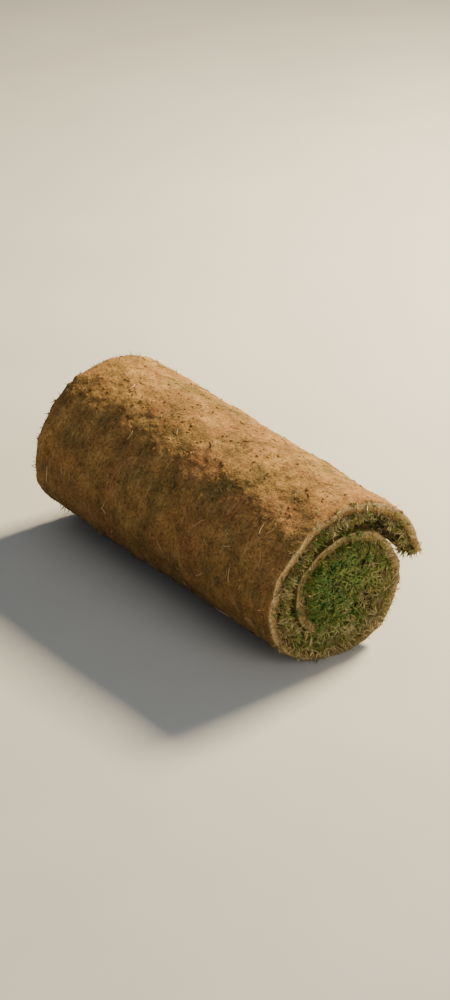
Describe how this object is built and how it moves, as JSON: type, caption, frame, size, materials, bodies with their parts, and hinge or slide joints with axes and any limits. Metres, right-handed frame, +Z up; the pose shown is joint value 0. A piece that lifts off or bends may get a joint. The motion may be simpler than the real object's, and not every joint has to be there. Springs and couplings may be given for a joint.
{
  "type": "roll of turf",
  "caption": "Strip of turf rolled up with its grass inwards and its soil and roots outwards, lying on its side; the spiral of its turns shows on both cut ends.",
  "frame": {"origin": "on the floor, under the middle of the roll's box", "axes": "+X along the roll's axis towards the end that the picture shows, +Y towards the side where the strip's free end lies, +Z up"},
  "size_m": [0.61, 0.326, 0.2744],
  "materials": {
    "soil_mat": "matt, sandy soil bound by fine roots",
    "grass": "matt, short green blades with some dry ones"
  },
  "bodies": {
    "root": {"turf_roll": "soil_mat"}
  },
  "joints": []
}
